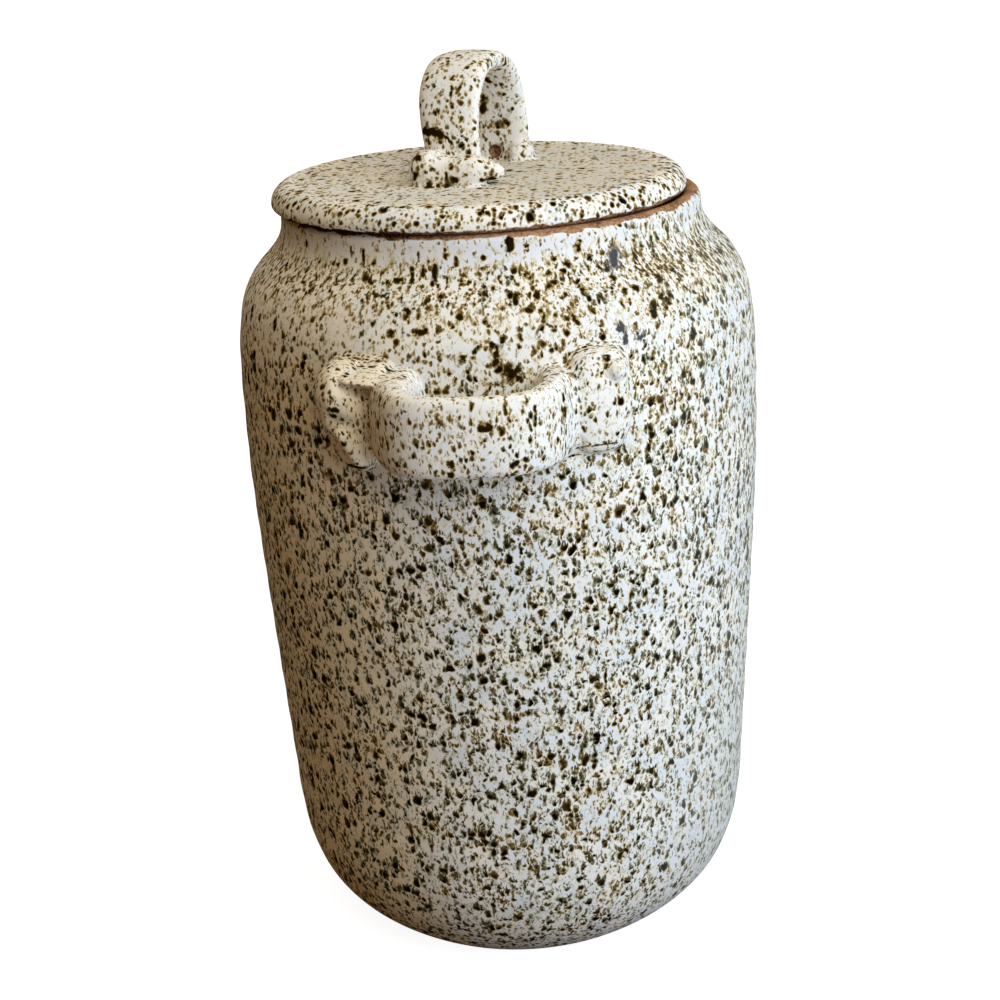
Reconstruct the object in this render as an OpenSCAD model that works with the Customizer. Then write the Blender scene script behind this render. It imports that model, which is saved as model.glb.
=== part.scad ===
// Wheel-thrown stoneware biscuit jar with a loose lid, a strap-loop knob and two lug handles.
// Millimetres, +Z up. The origin is the centre of the foot, on the table.
// The front handle stands out along -Y. The lid is a piece of its own and lifts off along +Z.

/* [Jar] */
// Radius of the flat foot
foot_r = 55; // [50:1:60]
// Radius where the round heel runs into the wall
heel_r = 82; // [76:1:84]
// Height where the round heel runs into the wall
heel_z = 54; // [45:1:65]
// Radius of the body at its widest, under the shoulder
belly_r = 89; // [87:1:92]
// Height of the widest place
belly_z = 177; // [165:1:185]
// Radius where the shoulder turns into the neck
shoulder_r = 79.5; // [78:0.5:81]
// Height where the shoulder turns into the neck
shoulder_z = 240.5; // [238:0.5:242]
// Outer radius of the neck
neck_r = 71; // [70:0.5:72]
// Height of the rim
rim_z = 259; // [258:0.5:262]
// Thickness of the thrown wall
wall_t = 6.5; // [5:0.5:7]
// Thickness of the floor
floor_t = 9; // [7:0.5:12]

/* [Lid] */
// Radius of the lid
lid_r = 70; // [69:0.5:72]
// Thickness of the lid
lid_t = 8; // [7:0.5:10]
// How far the loose lid sits off the jar's axis
lid_off = [-3.7, -1.5]; // [-4:0.1:4]
// Gap that the slightly uneven rim leaves under the lid
lid_gap = 0.2; // [0.1:0.1:0.5]
// Outer radius of the locating ring under the lid
flange_r = 59.5; // [56:0.5:59.5]
// Thickness of the locating ring
flange_t = 6; // [4:0.5:7]
// Height of the locating ring
flange_h = 10; // [6:1:14]

/* [Knob] */
// Half of the arch's span, between the strap's middle lines
knob_span = 22; // [18:0.5:25]
// Height of the strap's middle line over the lid
knob_h = 36; // [30:1:42]
// Thickness of the knob strap
knob_t = 6.5; // [5:0.5:8]
// Width of the knob strap at its crown
knob_w = 21.5; // [18:0.5:24]
// Turn of the arch away from the line through the two handles
knob_turn = 18; // [0:1:45]
// Place of the arch's middle from the lid's middle
knob_off = [-1.5, 6]; // [-6:0.5:6]
// Diameter of the finger dimple at the arch's rear root
dimple_d = 5; // [3:0.5:6]

/* [Handles] */
// Height of the handle's middle over the table
handle_z = 206; // [198:1:212]
// How far the strap's middle line stands from the jar's axis
handle_reach = 110; // [108:0.5:114]
// Half of the distance between the strap's two roots
handle_half = 24.5; // [22:0.5:26]
// Height of the strap at its middle
strap_w = 25; // [20:1:28]
// Height of the strap at its roots
strap_root_w = 30; // [26:1:32]
// Thickness of the strap at its middle
strap_t = 7; // [6:0.5:9]
// Height of the tabs that the strap's ends are folded into
tab_h = 35; // [30:1:37]

/* [Hidden] */
$fn = 96;

GLAZE = "#e4e0d3";
BARE_CLAY = "#a9764c";

lid_z = rim_z + lid_gap;
lid_top_z = lid_z + lid_t;
// How deep a luted piece runs into the clay that it is trimmed back from
root_depth = 8;
section_points = 24;

// ---- curves ----

// Point at t on the cubic curve through the corner points p
function curve_at(p, t) =
    pow(1 - t, 3) * p[0] + 3 * pow(1 - t, 2) * t * p[1] + 3 * (1 - t) * t * t * p[2] + pow(t, 3) * p[3];

// The curve as n steps, without its last point, so that curves can follow each other
function curve(p, n) = [for (i = [0:n - 1]) curve_at(p, i / n)];

// Arc of an ellipse about c, from angle a to angle b, as n steps
function arc(c, rx, ry, a, b, n) =
    [for (i = [0:n]) let (w = a + (b - a) * i / n) c + [rx * cos(w), ry * sin(w)]];

function unit(v) = v / norm(v);

// Direction of travel at point i of a path
function heading(path, i) =
    unit(path[min(i + 1, len(path) - 1)] - path[max(i - 1, 0)]);

// The path moved to its left by d
function set_in(path, d) =
    [for (i = [0:len(path) - 1]) let (h = heading(path, i)) path[i] + d * [-h[1], h[0]]];

// Rounded section of half sizes a and b; a higher power is squarer
function section(a, b, power) =
    [for (i = [0:section_points - 1]) let (w = 360 * i / section_points, e = 2 / power)
        [a * sign(cos(w)) * pow(abs(cos(w)), e), b * sign(sin(w)) * pow(abs(sin(w)), e)]];

// Smooth change from a at t = 0 to b at t = 1
function ease(a, b, t) = a + (b - a) * t * t * (3 - 2 * t);

// Closed skin over rings that have equal numbers of points
module skin(rings) {
    n = len(rings[0]);
    last = (len(rings) - 1) * n;
    polyhedron(
        points = [for (ring = rings) each ring],
        faces = concat(
            [[for (j = [0:n - 1]) j]],
            [for (i = [0:len(rings) - 2], j = [0:n - 1]) let (a = i * n, b = a + n, k = (j + 1) % n)
                each [[a + j, b + j, a + k], [a + k, b + j, b + k]]],
            [[for (j = [n - 1:-1:0]) last + j]]));
}

// ---- the thrown pot ----

wall_slope = (belly_r - heel_r) / (belly_z - heel_z);
lip_r = wall_t / 2;
lip_z = rim_z - lip_r;
neck_lean = 44;

// Outside of the pot from the foot up to the lip
heel_curve = [[foot_r, 0], [foot_r, 0] + 24 * [cos(33), sin(33)],
              [heel_r, heel_z] - 28 * [wall_slope, 1], [heel_r, heel_z]];
wall_curve = [[heel_r, heel_z], [heel_r, heel_z] + 10 * [wall_slope, 1],
              [belly_r, belly_z - 24], [belly_r, belly_z]];
shoulder_curve = [[belly_r, belly_z], [belly_r, belly_z + 30],
                  [shoulder_r, shoulder_z] + 15 * [cos(neck_lean), -sin(neck_lean)],
                  [shoulder_r, shoulder_z]];
neck_curve = [[shoulder_r, shoulder_z], [shoulder_r, shoulder_z] + 8 * [-cos(neck_lean), sin(neck_lean)],
              [neck_r, lip_z - 6], [neck_r, lip_z]];
outside = concat(curve(heel_curve, 10), curve(wall_curve, 8), curve(shoulder_curve, 12),
                 curve(neck_curve, 7), [[neck_r, lip_z]]);

lip = arc([neck_r - lip_r, lip_z], lip_r, lip_r, 0, 180, 10);

// Inside of the pot, from the floor's round corner up to the lip
floor_curve = [[foot_r - 10, floor_t], [foot_r + 14, floor_t],
               [heel_r - wall_t - 1, heel_z - 24], [heel_r - wall_t, heel_z]];
inside_above_heel = set_in([for (p = outside) if (p[1] >= heel_z) p], wall_t);
inside = concat([[0, floor_t]], curve(floor_curve, 10), inside_above_heel);

function reversed(list) = [for (i = [len(list) - 1:-1:0]) list[i]];

// Outer radius of the wall at height z
wall_table = [for (p = outside) [p[1], p[0]]];
function wall_r(z) = lookup(z, wall_table);

module pot_outline_solid() {
    rotate_extrude() polygon(concat([[0, 0]], outside, [[0, lip_z]]));
}

module jar_body() {
    color(GLAZE)
    rotate_extrude()
    polygon(concat([[0, 0]], outside, [for (i = [1:len(lip) - 2]) lip[i]], reversed(inside)));
}

// ---- lug handles ----

// The strap leaves the wall, turns, runs across the front and turns back. Its middle line starts inside the
// wall. It turns squarely on the left and in a wide bow on the right, where it was laid on the wall.
root_y = wall_r(handle_z) - root_depth - 3;
left_half_route = [[handle_half - 1, root_y], [handle_half + 3, handle_reach - 2],
                   [handle_half - 4, handle_reach], [0, handle_reach]];
right_half_route = [[handle_half - 2, root_y], [handle_half - 0.5, handle_reach - 14],
                    [handle_half - 2.5, handle_reach], [0, handle_reach]];
route_steps = 16;
// How far the clay reaches from the strap's middle line to its inner and its outer face at the roots. The
// outer face flares, so that the strap runs into the tab beside it without a gap.
left_root_in = 7.5;
right_root_in = 5.5;
left_root_out = 11;
right_root_out = 8;
strap_route = concat(
    [for (i = [0:route_steps]) let (p = curve_at(left_half_route, i / route_steps)) [-p[0], -p[1]]],
    [for (i = [route_steps - 1:-1:0]) let (p = curve_at(right_half_route, i / route_steps)) [p[0], -p[1]]]);
tab_z = handle_z - tab_h / 2;
// The tabs' middles, as turns round the jar, their half widths and thicknesses, at the bottom and at the top
left_tab_turns = [-25.2, -27.6];
left_tab_half_widths = [7.5, 10.5];
left_tab_thicks = [9, 13];
right_tab_turns = [24.2, 24.4];
right_tab_half_widths = [10.5, 11.2];
right_tab_thicks = [5.5, 6.5];
right_tab_up = 3.5;
right_tab_h = tab_h - 2;
bead_z = handle_z + 12;
bead_turn = 26.8;
bead_d = 6.8;
bead_out = 4.4;

module handle_strap_shape() {
    last = len(strap_route) - 1;
    skin([for (i = [0:last])
        let (c = strap_route[i], h = heading(strap_route, i), s = 2 * i / last - 1,
             away = pow(abs(s), 2.2),
             inner = ease(strap_t / 2, s < 0 ? left_root_in : right_root_in, away),
             outer = ease(strap_t / 2, s < 0 ? left_root_out : right_root_out, away),
             w = ease(strap_w, strap_root_w, away))
        [for (q = section(1, w / 2, 3.2))
            let (depth = q[0] * (q[0] > 0 ? inner : outer))
            [c[0] - h[1] * depth, c[1] + h[0] * depth, handle_z + q[1]]]]);
}

module handle_strap() {
    color(GLAZE)
    difference() {
        handle_strap_shape();
        pot_outline_solid();
    }
}

// A pad of clay pressed on the wall, from z_low up by h. At the share t of its height it is centred
// turn(t) degrees round the jar and has the half width and thickness that the two pairs give. Its
// back lies on the wall.
module wall_pad(z_low, h, turns, half_widths, thicks, squareness) {
    steps = 14;
    skin([for (i = [0:steps])
        let (w = -90 + 180 * i / steps, t = (1 + sin(w)) / 2,
             z = z_low + h * t,
             r = wall_r(z), round_off = max(0.04, pow(cos(w), 2 / squareness)),
             turn = ease(turns[0], turns[1], t),
             a = ease(half_widths[0], half_widths[1], t) * round_off,
             b = ease(thicks[0], thicks[1], t) * round_off)
        [for (q = section(a, b, 2.6))
            let (turn_q = turn - q[0] / r * 180 / PI, out = r + max(0, q[1]))
            [out * sin(turn_q), -out * cos(turn_q), z]]]);
}

module handle_left_tab() {
    color(GLAZE)
    difference() {
        wall_pad(tab_z, tab_h, left_tab_turns, left_tab_half_widths, left_tab_thicks, 3);
        handle_strap_shape();
    }
}

module handle_right_tab() {
    color(GLAZE)
    difference() {
        union() {
            wall_pad(tab_z + right_tab_up, right_tab_h, right_tab_turns, right_tab_half_widths,
                     right_tab_thicks, 4.5);
            // The bead where the strap's last corner was pressed in
            rotate([0, 0, bead_turn]) translate([0, -wall_r(bead_z) - bead_out, bead_z])
            sphere(d = bead_d, $fn = 12);
        }
        handle_strap_shape();
    }
}

module front_handle_strap() { handle_strap(); }
module front_handle_left_tab() { handle_left_tab(); }
module front_handle_right_tab() { handle_right_tab(); }
module rear_handle_strap() { rotate([0, 0, 180]) handle_strap(); }
module rear_handle_left_tab() { rotate([0, 0, 180]) handle_left_tab(); }
module rear_handle_right_tab() { rotate([0, 0, 180]) handle_right_tab(); }

// ---- lid ----

// The lid's edge: a small rounding up to here, and a large one over it
lid_edge_low = 1.8;
lid_edge_in_low = 2;
lid_edge_in_top = 7;
module lid_plate() {
    edge = concat(
        arc([lid_r - lid_edge_in_low, lid_z + lid_edge_low], lid_edge_in_low, lid_edge_low, -90, 0, 5),
        arc([lid_r - lid_edge_in_top, lid_z + lid_edge_low], lid_edge_in_top, lid_t - lid_edge_low, 10, 90, 8));
    color(GLAZE)
    translate(lid_off)
    rotate_extrude() polygon(concat([[0, lid_z]], edge, [[0, lid_top_z]]));
}

module lid_flange() {
    low_z = lid_z - flange_h;
    soft = 2;
    color(BARE_CLAY)
    translate(lid_off)
    rotate_extrude()
    polygon(concat(
        arc([flange_r - soft, low_z + soft], soft, soft, -90, 0, 4),
        [[flange_r, lid_z], [flange_r - flange_t, lid_z]],
        arc([flange_r - flange_t + soft, low_z + soft], soft, soft, 180, 270, 4)));
}

// ---- knob ----

// Places on the lid are u, along the arch from front to rear, v, to the right, and the height.
module on_lid() {
    translate([lid_off[0] + knob_off[0], lid_off[1] + knob_off[1], lid_top_z])
    rotate([0, 0, 90 - knob_turn])
    children();
}

arch_steps = 32;
arch_power = 2.7;
// The front leg is squeezed narrower and leans to the right below this share of the arch's height
squeeze_from = 0.78;
squeeze = 3.7;
leg_lean = 3.4;
// The rear leg spreads a little towards its foot
rear_spread = 1.5;
dimple_side = -0.6;
dimple_z = 3;
// Middle line of the arch: straight legs, a flat crown and round shoulders
arch_route = concat([[-knob_span + 1, -root_depth / 2]],
    [for (i = [1:arch_steps - 1]) let (w = 180 * (1 - i / arch_steps), e = 2 / arch_power)
        [knob_span * sign(cos(w)) * pow(abs(cos(w)), e), knob_h * pow(sin(w), e)]],
    [[knob_span - 1, -root_depth / 2]]);

module knob_strap_shape() {
    last = len(arch_route) - 1;
    skin([for (i = [0:last])
        let (c = arch_route[i], h = heading(arch_route, i), s = i / last,
             low = s < 0.5 ? min(1, max(0, 1 - c[1] / knob_h / squeeze_from)) : 0,
             w = s < 0.5 ? knob_w - squeeze * low : ease(knob_w, knob_w + rear_spread, 2 * s - 1),
             lean = leg_lean * pow(low, 1.5))
        [for (q = section(knob_t / 2, w / 2, 2.8))
            [c[0] - h[1] * q[0], -lean - q[1], c[1] + h[0] * q[0]]]]);
}

// Everything under the lid's top face
module under_lid_top() {
    translate([0, 0, -root_depth]) cube([4 * knob_span, 4 * knob_w, 2 * root_depth], center = true);
}

module knob_strap() {
    color(GLAZE)
    on_lid()
    difference() {
        knob_strap_shape();
        under_lid_top();
        // The bare dimple that a finger tip left
        translate([knob_span - knob_t / 2 - 0.5, dimple_side, dimple_z]) sphere(d = dimple_d, $fn = 24);
    }
}

// A roll of clay luted against the strap's foot, along a route of
// [u, v, height of its middle, half depth, half height]
module foot_roll(route) {
    last = len(route) - 1;
    color(GLAZE)
    on_lid()
    difference() {
        skin([for (i = [0:last])
            let (p = route[i], d = route[min(i + 1, last)] - route[max(i - 1, 0)], h = unit([d[0], d[1]]))
            [for (q = section(p[3], p[4], 2.8))
                [p[0] + h[1] * q[0], h[0] * q[0] - p[1], p[2] + q[1]]]]);
        knob_strap_shape();
        under_lid_top();
    }
}

// The strap's front end, rolled up: a lobe on the left, a middle and a beak that reaches to the right
module knob_front_roll() {
    u = -knob_span - knob_t / 2;
    foot_roll([[u - 4.4, -8.4, 4.6, 0.8, 0.8], [u - 4.8, -7.6, 4.6, 4.2, 4.6], [u - 5.2, -5.4, 4.8, 6.2, 6],
               [u - 5.4, -2, 4.8, 6.6, 6.2], [u - 5, 1, 4.2, 6.4, 5.2], [u - 4.8, 5, 3.8, 6.2, 5],
               [u - 4.8, 10, 4.2, 6.2, 5.2], [u - 4.6, 13.5, 4.4, 5.8, 4.8], [u - 4, 16.6, 4.7, 4.6, 3.4],
               [u - 3.4, 20, 4.2, 3.4, 2.5], [u - 3, 22.8, 3.6, 0.8, 0.8]]);
}

// The strap's rear end: a thinner roll whose tip curls round the foot's right side to its inner face
module knob_rear_roll() {
    u = knob_span + knob_t / 2;
    foot_roll([[u + 2.4, -10.5, 3, 0.8, 0.8], [u + 2.7, -9.5, 3.4, 2.8, 3.4], [u + 3, -6.5, 3.8, 3.6, 4],
               [u + 3, 0, 4, 3.8, 4.2], [u + 2, 5, 3.6, 3.4, 3.8], [u - 0.5, 9.6, 2.8, 2.8, 3],
               [u - 4, 11.6, 2.2, 2.2, 2.6], [u - 7.2, 10.8, 2.6, 2.4, 3], [u - 8.6, 8, 2.8, 2.2, 2.8],
               [u - 8.8, 5.8, 2.8, 0.8, 0.8]]);
}

jar_body();
front_handle_strap();
front_handle_left_tab();
front_handle_right_tab();
rear_handle_strap();
rear_handle_left_tab();
rear_handle_right_tab();
lid_plate();
lid_flange();
knob_strap();
knob_front_roll();
knob_rear_roll();
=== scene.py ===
"""A wheel-thrown stoneware biscuit jar: white glaze over iron-speckled clay, bare toasted rim, loose lid
with a strap-loop knob, and two lug handles whose ends are rolled and pressed on the wall."""

import math

import bmesh
import bpy
import numpy as np
from mathutils import Matrix, Vector


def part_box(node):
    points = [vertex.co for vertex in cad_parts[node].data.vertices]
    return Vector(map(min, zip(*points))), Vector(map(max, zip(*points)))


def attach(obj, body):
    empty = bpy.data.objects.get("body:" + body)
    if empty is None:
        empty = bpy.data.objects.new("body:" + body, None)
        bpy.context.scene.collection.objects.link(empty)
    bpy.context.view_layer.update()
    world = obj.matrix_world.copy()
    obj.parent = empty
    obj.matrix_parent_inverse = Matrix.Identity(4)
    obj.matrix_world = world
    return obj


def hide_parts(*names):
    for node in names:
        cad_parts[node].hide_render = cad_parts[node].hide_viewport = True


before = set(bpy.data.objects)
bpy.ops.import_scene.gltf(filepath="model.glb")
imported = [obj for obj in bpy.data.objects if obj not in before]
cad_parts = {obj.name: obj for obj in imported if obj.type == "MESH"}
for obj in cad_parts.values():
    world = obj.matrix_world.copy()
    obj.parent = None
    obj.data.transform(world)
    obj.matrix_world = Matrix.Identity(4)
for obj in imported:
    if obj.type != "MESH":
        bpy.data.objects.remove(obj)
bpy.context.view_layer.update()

MM = 0.001

# The lid's place and size, and the rim's height, come from their solids, to a tenth of a millimetre.
lid_low, lid_high = np.array(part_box("lid_plate")).round(4)
LID_R, LID_T = (lid_high[0] - lid_low[0]) / 2, lid_high[2] - lid_low[2]
LID_Z, LID_TOP = lid_low[2], lid_high[2]
LID_MIDDLE = Vector(((lid_low[0] + lid_high[0]) / 2, (lid_low[1] + lid_high[1]) / 2, 0))
RIM_Z = round(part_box("jar_body")[1].z, 4)
# The thrown wall's other sizes, the same as in its solid, in metres
FOOT_R, HEEL_R, HEEL_Z, FOOT_LEAN = 55 * MM, 82 * MM, 54 * MM, math.radians(33)
BELLY_R, BELLY_Z = 89 * MM, 177 * MM
SHOULDER_R, SHOULDER_Z = 79.5 * MM, 240.5 * MM
NECK_R, NECK_LEAN = 71 * MM, math.radians(44)
WALL_T, FLOOR_T, LIP_R = 6.5 * MM, 9 * MM, 3.25 * MM
LID_EDGE_LOW, LID_EDGE_IN = 1.8 * MM, 2 * MM     # the small round under the lid's edge
LID_ROUND = 7 * MM                               # the wide round on top of the edge
LATHE_STEPS = 256

# The view that the jar is made for
CAMERA_PLACE = (0.05349, -0.67967, 0.37772)
CAMERA_TURN, CAMERA_DOWN, CAMERA_TILT = 4.686, 18.504, -3.059
CAMERA_LENS, CAMERA_SENSOR = 72.66, 36


# ---- camera ----

camera = bpy.data.objects.new("camera", bpy.data.cameras.new("camera"))
bpy.context.scene.collection.objects.link(camera)
camera.data.lens = CAMERA_LENS
camera.data.sensor_width = CAMERA_SENSOR
camera.data.clip_start, camera.data.clip_end = 0.02, 60
camera.matrix_world = (Matrix.Translation(CAMERA_PLACE)
                       @ Matrix.Rotation(math.radians(CAMERA_TURN), 4, "Z")
                       @ Matrix.Rotation(math.radians(90 - CAMERA_DOWN), 4, "X")
                       @ Matrix.Rotation(math.radians(CAMERA_TILT), 4, "Z"))
bpy.context.scene.camera = camera
bpy.context.scene.view_settings.view_transform = "Standard"


# ---- the thrown profile ----

def curve(corners, steps):
    """Points on the cubic curve through four corner points, without its last point."""
    a, b, c, d = (np.array(p) for p in corners)
    t = np.linspace(0, 1, steps, endpoint=False)[:, None]
    return (1 - t) ** 3 * a + 3 * (1 - t) ** 2 * t * b + 3 * (1 - t) * t * t * c + t ** 3 * d


def arc(centre, rx, ry, start, end, steps):
    """Points on a round or an ellipse, between two angles in degrees."""
    turn = np.radians(np.linspace(start, end, steps))
    return np.stack([centre[0] + rx * np.cos(turn), centre[1] + ry * np.sin(turn)], 1)


def reached(point, lean, distance):
    """The point at a distance from another, along a line that rises from level by an angle."""
    return point[0] + distance * math.cos(lean), point[1] + distance * math.sin(lean)


foot, heel, belly = (FOOT_R, 0), (HEEL_R, HEEL_Z), (BELLY_R, BELLY_Z)
shoulder, neck = (SHOULDER_R, SHOULDER_Z), (NECK_R, RIM_Z - LIP_R)
flare = (BELLY_R - HEEL_R) / (BELLY_Z - HEEL_Z)
# Four curves up the wall, whose ends pull along the wall by the lengths in mm
outside = np.concatenate([
    curve([foot, reached(foot, FOOT_LEAN, 24 * MM), (HEEL_R - 28 * MM * flare, HEEL_Z - 28 * MM), heel], 34),
    curve([heel, (HEEL_R + 10 * MM * flare, HEEL_Z + 10 * MM), (BELLY_R, BELLY_Z - 24 * MM), belly], 40),
    curve([belly, (BELLY_R, BELLY_Z + 30 * MM), reached(shoulder, -NECK_LEAN, 15 * MM), shoulder], 34),
    curve([shoulder, reached(shoulder, -NECK_LEAN, -8 * MM), (NECK_R, neck[1] - 6 * MM), neck], 20)])
lip = arc((NECK_R - LIP_R, neck[1]), LIP_R, LIP_R, 0, 180, 14)
upper_outside = outside[outside[:, 1] >= HEEL_Z]
travel = np.gradient(upper_outside, axis=0)
travel /= np.linalg.norm(travel, axis=1)[:, None]
upper_inside = upper_outside + WALL_T * np.stack([-travel[:, 1], travel[:, 0]], 1)
inside_r = HEEL_R - WALL_T
floor_curve = curve([(FOOT_R - 10 * MM, FLOOR_T), (FOOT_R + 14 * MM, FLOOR_T),
                     (inside_r - 1 * MM, HEEL_Z - 24 * MM), (inside_r, HEEL_Z)], 16)
jar_profile = np.concatenate([[(0, 0), (20 * MM, 0), (40 * MM, 0)], outside, lip, upper_inside[::-2],
                              floor_curve[::-1], [(20 * MM, FLOOR_T), (0, FLOOR_T)]])


def wall_r(z):
    """Outer radius of the thrown wall at a height."""
    return np.interp(z, outside[:, 1], outside[:, 0])


# ---- mesh helpers ----

def new_piece(name, bm, body, slot, *nodes):
    """Finishes a bmesh as a piece that rides on a body and stands for solids of the frame."""
    mesh = bpy.data.meshes.new(name)
    bm.to_mesh(mesh)
    bm.free()
    mesh.polygons.foreach_set("use_smooth", [True] * len(mesh.polygons))
    piece = bpy.data.objects.new(name, mesh)
    bpy.context.scene.collection.objects.link(piece)
    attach(piece, body)
    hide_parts(*nodes)
    return piece


def places(mesh):
    co = np.zeros(len(mesh.vertices) * 3, np.float32)
    mesh.vertices.foreach_get("co", co)
    return co.reshape(-1, 3).astype(float)


def move_to(mesh, co):
    mesh.vertices.foreach_set("co", co.astype(np.float32).ravel())
    mesh.update()


def bm_places(bm):
    return np.array([v.co for v in bm.verts])


def set_bm_places(bm, co):
    for vert, place in zip(bm.verts, co):
        vert.co = place
    bm.normal_update()


def note_on_surface(mesh, name, values):
    """Keeps one number per vertex, which the glaze reads."""
    layer = mesh.attributes.new(name, "FLOAT", "POINT")
    layer.data.foreach_set("value", np.asarray(values, np.float32))


def smooth_step(low, high, x):
    t = np.clip((x - low) / (high - low), 0, 1)
    return t * t * (3 - 2 * t)


def round_axis(co, middle=Vector((0, 0, 0))):
    """How far points are from an upright axis, and their turn round it, from the front towards the right."""
    x, y = co[:, 0] - middle.x, co[:, 1] - middle.y
    return np.hypot(x, y), np.arctan2(x, -y)


def turned(profile, middle=Vector((0, 0, 0))):
    """Turns a profile of radii and heights round the upright axis through the middle, as on a wheel."""
    bm = bmesh.new()
    verts = [bm.verts.new((middle.x + r, middle.y, z)) for r, z in profile]
    edges = [bm.edges.new(pair) for pair in zip(verts, verts[1:])]
    bmesh.ops.spin(bm, geom=verts + edges, cent=middle, axis=(0, 0, 1), steps=LATHE_STEPS,
                   angle=2 * math.pi, use_merge=True)
    bmesh.ops.remove_doubles(bm, verts=bm.verts, dist=0.02 * MM)
    bmesh.ops.recalc_face_normals(bm, faces=bm.faces)
    return bm


AT_WIDTH = 0.37                      # what near_path gives one width away from a path


def near_path(co, path, width):
    """1 on a path and 0 far from it, seen from the front. The path's points are across and height in mm."""
    flat = co[:, [0, 2]] / MM
    path = np.array(path if len(path) > 1 else path * 2, float)
    best = np.full(len(co), 1e9)
    for a, b in zip(path, path[1:]):
        along = b - a
        t = np.clip((flat - a) @ along / max(along @ along, 1e-9), 0, 1)
        best = np.minimum(best, np.linalg.norm(flat - a - t[:, None] * along, axis=1))
    return np.exp(-(best / width) ** 2)


def painted(co, strokes, reach=1, size=1):
    """The strongest of several strokes at each point. A stroke is its path, width in mm and strength."""
    best = np.zeros(len(co))
    for path, width, strength in strokes:
        best = np.maximum(best, near_path(co, path, width * size) * strength * reach)
    return best


# ---- the pot ----

GLAZE_LINE = 257.5 * MM              # the glaze stops here under the rim
GLAZE_LINE_RISE = 0.4 * MM           # and this much higher towards both sides
INNER_GLAZE_LINE = RIM_Z - 3.4 * MM
FOOT_LINE = 1.6 * MM                 # and here above the foot
RING_DEPTH, RING_TURN = 0.10 * MM, 0.42          # throwing rings, one every 15 mm: radians of wave per mm
WANDER, WANDER_TWIST = 0.30 * MM, 0.013          # the wall isn't quite round, and twists a little
FRONT_Y = -30 * MM                   # what lies before this is the jar's front
DRIPS_LEFT, DRIPS_RIGHT, DRIPS_LOW, DRIPS_HIGH = -52 * MM, 66 * MM, 221 * MM, 258 * MM


def thrown_offset(turn, z):
    """How far the thrown wall strays from a true circle: soft rings and a slow wander."""
    rings = RING_DEPTH * np.sin(z / MM * RING_TURN + 0.5 * np.sin(turn)) * smooth_step(6 * MM, 40 * MM, z)
    wander = WANDER * np.sin(2 * turn + z / MM * WANDER_TWIST) * smooth_step(0, 60 * MM, z)
    return (rings + wander) * (1 - smooth_step(235 * MM, 250 * MM, z) * 0.6)


def in_drips(place):
    """Whether a place is on the outside, in front under the rim, where the drips need finer facets."""
    return (place.y < FRONT_Y and DRIPS_LEFT < place.x < DRIPS_RIGHT and DRIPS_LOW < place.z < DRIPS_HIGH
            and math.hypot(place.x, place.y) > wall_r(place.z) - 1 * MM)


bm = turned(jar_profile)
fine = {v for v in bm.verts if in_drips(v.co)}
fine_edges = [e for e in bm.edges if e.verts[0] in fine and e.verts[1] in fine]
bmesh.ops.subdivide_edges(bm, edges=fine_edges, cuts=2, use_grid_fill=True)
jar = new_piece("jar_wall", bm, "jar", "glaze", "jar_body")
co = places(jar.data)
z = co[:, 2]
radius, turn = round_axis(co)
on_outside = radius > wall_r(z) - 1.5 * MM
strayed = radius + np.where(on_outside, thrown_offset(turn, z), 0)
co[:, :2] *= (strayed / np.maximum(radius, 1e-6))[:, None]
move_to(jar.data, co)

# Where the clay is bare, in mm past the glaze's edge
line = GLAZE_LINE + GLAZE_LINE_RISE * (smooth_step(-0.2, -0.7, turn) + smooth_step(0.6, 1.0, turn))
bare_at_rim = z - np.where(radius > NECK_R - LIP_R, line, INNER_GLAZE_LINE)
note_on_surface(jar.data, "bare", np.maximum(bare_at_rim, FOOT_LINE - z) / MM)
# A thick roll of glaze under the rim hides most specks, but less so on one side. There the whole wall has
# a little more glaze, most of all low down, and elsewhere the shoulder has.
under_rim = smooth_step(246.5 * MM, 251.5 * MM, z) * (1 - 0.55 * smooth_step(0.05, 0.5, turn))
on_side = 0.23 * smooth_step(0.25, 0.9, turn) * (1 + 0.8 * smooth_step(90 * MM, 40 * MM, z))
on_shoulder = 0.5 * smooth_step(212 * MM, 230 * MM, z) * smooth_step(1.0, 0.5, turn)
note_on_surface(jar.data, "thick", np.maximum(np.maximum(under_rim, on_side), on_shoulder))
# On the shoulder, but for that side, the glaze hardly ran.
shoulder_band = smooth_step(212 * MM, 226 * MM, z) * smooth_step(250 * MM, 245 * MM, z)
note_on_surface(jar.data, "still", 0.7 * shoulder_band * smooth_step(0.6, 0.0, turn))
# On that side a painted sheen, cool as the windows' light, pales the glaze and its specks to blue-grey, most
# of all low down.
note_on_surface(jar.data, "painted_sheen", smooth_step(0.5, 1.35, turn) * smooth_step(2.9, 2.2, turn)
                * (0.35 + 0.65 * smooth_step(115 * MM, 40 * MM, z)))
# On the other side the glaze is painted creamier and warmer, a painted warm shade away from the windows.
note_on_surface(jar.data, "painted_warm_shade", smooth_step(-0.12, -0.55, turn) * smooth_step(-1.5, -0.95, turn)
                * (0.85 - 0.6 * smooth_step(200 * MM, 235 * MM, z)))

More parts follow.
